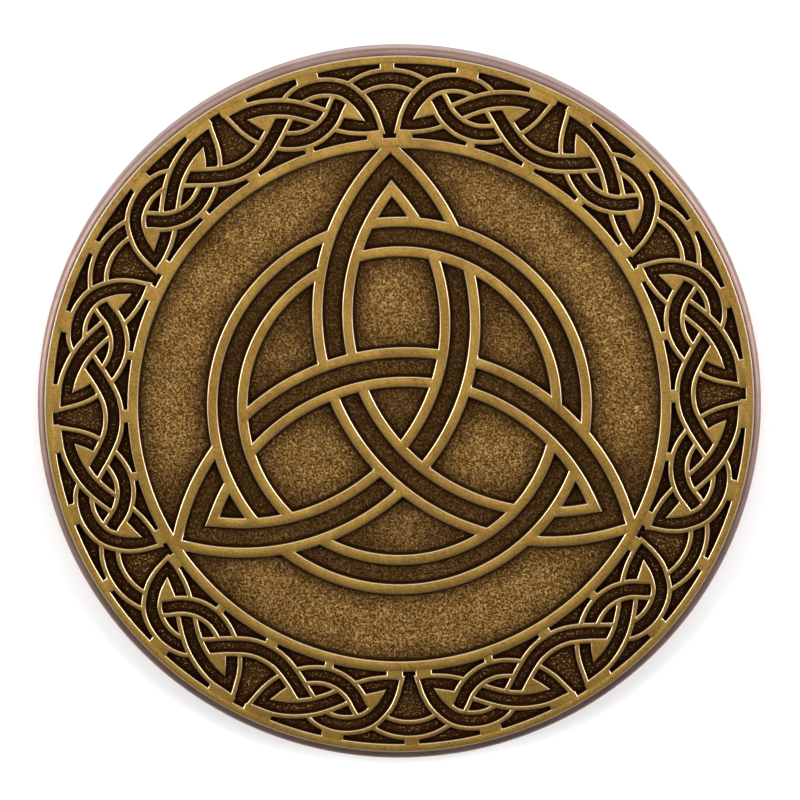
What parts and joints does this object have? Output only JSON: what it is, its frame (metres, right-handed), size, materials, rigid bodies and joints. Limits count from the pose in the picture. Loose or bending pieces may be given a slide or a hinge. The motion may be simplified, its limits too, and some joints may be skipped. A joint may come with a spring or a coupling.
{
  "type": "challenge coin",
  "caption": "Antique bronze challenge coin with a three-leaf knot woven through a circle, inside a border of endless plaitwork",
  "frame": {"origin": "middle of the reverse, on the plane it rests on", "axes": "+Z out of the obverse, +Y to the 12 o'clock leaf tip, +X to 3 o'clock"},
  "size_m": [0.04, 0.04, 0.002],
  "materials": {
    "raised_metal": "brushed antique bronze",
    "dark_ground": "black-brown patina over fine grain",
    "sanded_ground": "sandblasted, patinated beside the lines",
    "edge_metal": "polished, slightly tarnished"
  },
  "bodies": {
    "root": {"planchet": "edge_metal", "obverse_rim": "raised_metal", "obverse_border_knot": "raised_metal", "obverse_border_ground": "dark_ground", "obverse_inner_ring": "raised_metal", "obverse_centre_knot": "raised_metal", "obverse_centre_field": "sanded_ground", "reverse_rim": "raised_metal", "reverse_border_ground": "dark_ground", "reverse_inner_ring": "raised_metal", "reverse_centre_field": "sanded_ground"}
  },
  "joints": []
}
